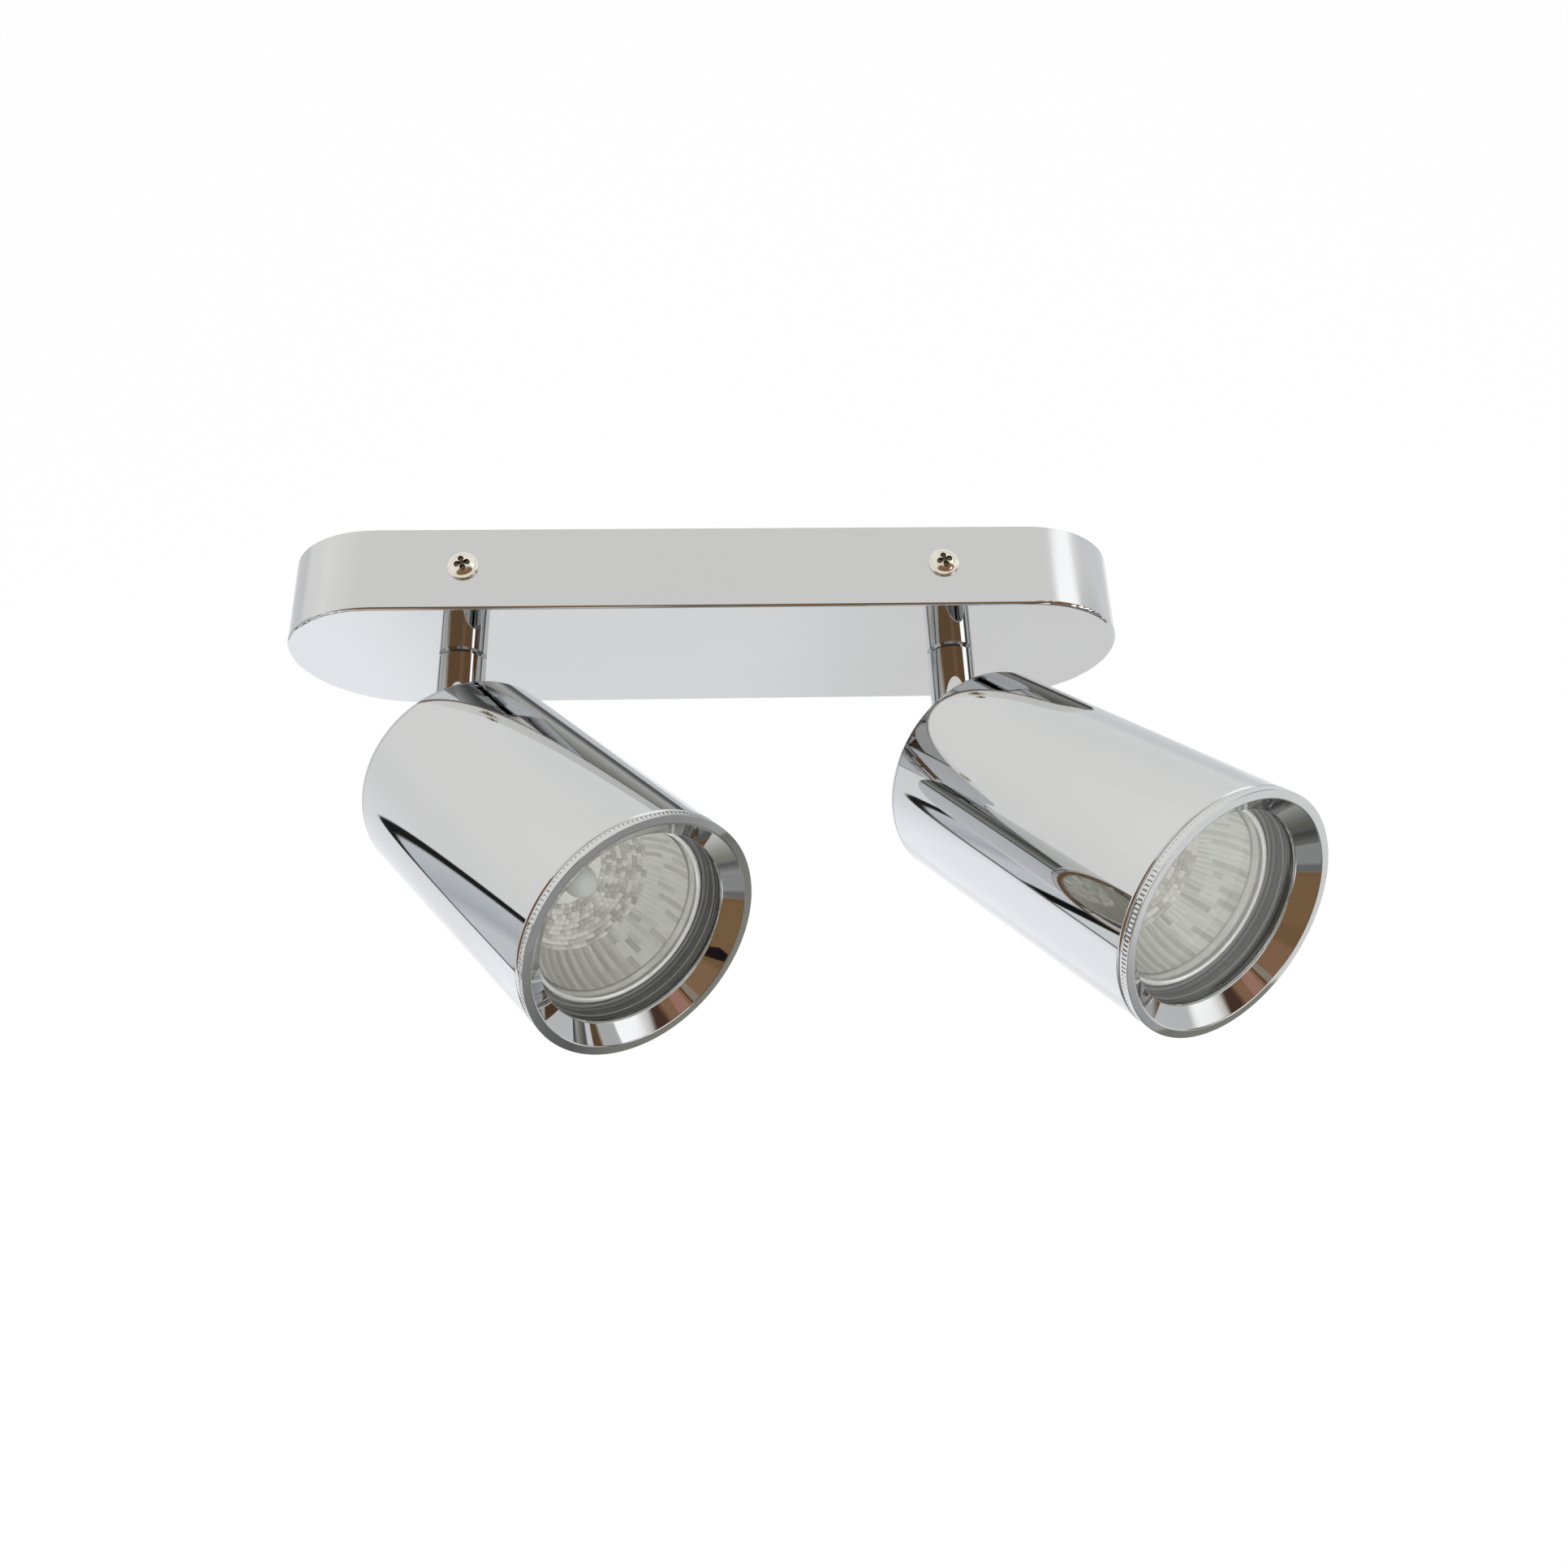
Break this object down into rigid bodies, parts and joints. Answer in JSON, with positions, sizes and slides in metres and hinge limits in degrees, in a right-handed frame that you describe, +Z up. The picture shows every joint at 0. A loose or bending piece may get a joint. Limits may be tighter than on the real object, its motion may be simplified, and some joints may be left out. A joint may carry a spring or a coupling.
{
  "type": "pivoting spotlight wall light",
  "caption": "Chrome wall spotlight bar with round pivoting heads on friction stems, knurled screw-on bezels and reflector lamps behind flat cover glasses.",
  "frame": {"origin": "Centre of the bar on the wall plane, midway between the wall fixing slots.", "axes": "+X along the bar, +Y into the wall, +Z up the wall. The lamp stands out from the wall towards -Y."},
  "size_m": [0.2882, 0.1596, 0.1314],
  "materials": {
    "chrome_plate": "polished chrome plate on steel, mirror bright",
    "nickel_steel": "nickel-plated steel, slightly warm and softer than the chrome",
    "zinc_steel": "zinc-plated sheet steel, dull",
    "mirror_coating": "faceted reflector coating on glass",
    "clear_glass": "clear float glass, polished edge",
    "frosted_glass": "frosted capsule glass",
    "white_ceramic": "unglazed white ceramic",
    "white_plastic": "moulded white plastic",
    "brass": "bare brass",
    "black_rubber": "black silicone rubber",
    "dark_fibre": "dark friction fibre"
  },
  "bodies": {
    "base": {"base_cover": "chrome_plate", "wall_bracket": "zinc_steel", "cover_screws": "nickel_steel", "terminal_block": "white_plastic", "terminal_screws": "brass", "earth_screw": "brass", "earth_lug": "zinc_steel", "cable_grommet": "black_rubber", "stop_studs": "zinc_steel"},
    "left_arm": {"left_stem": "chrome_plate", "left_stem_nut": "zinc_steel", "left_spring_washer": "zinc_steel", "left_stop_washer": "zinc_steel", "left_hinge_screw": "nickel_steel"},
    "left_head": {"left_neck": "chrome_plate", "left_friction_washers": "dark_fibre", "left_neck_nut": "zinc_steel", "left_tube": "chrome_plate", "left_end_cap": "chrome_plate", "left_bezel": "chrome_plate", "left_cover_glass": "clear_glass", "left_gasket": "black_rubber", "left_lamp_reflector": "mirror_coating", "left_lamp_glass": "clear_glass", "left_lamp_capsule": "frosted_glass", "left_lamp_base": "white_ceramic", "left_lamp_pins": "nickel_steel", "left_lampholder": "white_ceramic", "left_holder_bracket": "zinc_steel", "left_holder_screws": "nickel_steel"},
    "right_arm": {"right_stem": "chrome_plate", "right_stem_nut": "zinc_steel", "right_spring_washer": "zinc_steel", "right_stop_washer": "zinc_steel", "right_hinge_screw": "nickel_steel"},
    "right_head": {"right_neck": "chrome_plate", "right_friction_washers": "dark_fibre", "right_neck_nut": "zinc_steel", "right_tube": "chrome_plate", "right_end_cap": "chrome_plate", "right_bezel": "chrome_plate", "right_cover_glass": "clear_glass", "right_gasket": "black_rubber", "right_lamp_reflector": "mirror_coating", "right_lamp_glass": "clear_glass", "right_lamp_capsule": "frosted_glass", "right_lamp_base": "white_ceramic", "right_lamp_pins": "nickel_steel", "right_lampholder": "white_ceramic", "right_holder_bracket": "zinc_steel", "right_holder_screws": "nickel_steel"}
  },
  "joints": [
    {"name": "left_turn", "type": "hinge", "parent": "base", "child": "left_arm", "pos_m": [-0.079, -0.027, 0], "axis": [0, -1, 0], "range_deg": [-206.6, 63.4]},
    {"name": "left_tilt", "type": "hinge", "parent": "left_arm", "child": "left_head", "pos_m": [-0.079, -0.0653, 0], "axis": [-0.6639, 0, 0.7478], "range_deg": [-51.8, 38.2]},
    {"name": "right_turn", "type": "hinge", "parent": "base", "child": "right_arm", "pos_m": [0.079, -0.027, 0], "axis": [0, -1, 0], "range_deg": [-221.3, 48.7]},
    {"name": "right_tilt", "type": "hinge", "parent": "right_arm", "child": "right_head", "pos_m": [0.079, -0.0653, 0], "axis": [-0.832, 0, 0.5548], "range_deg": [-50.9, 39.1]}
  ]
}
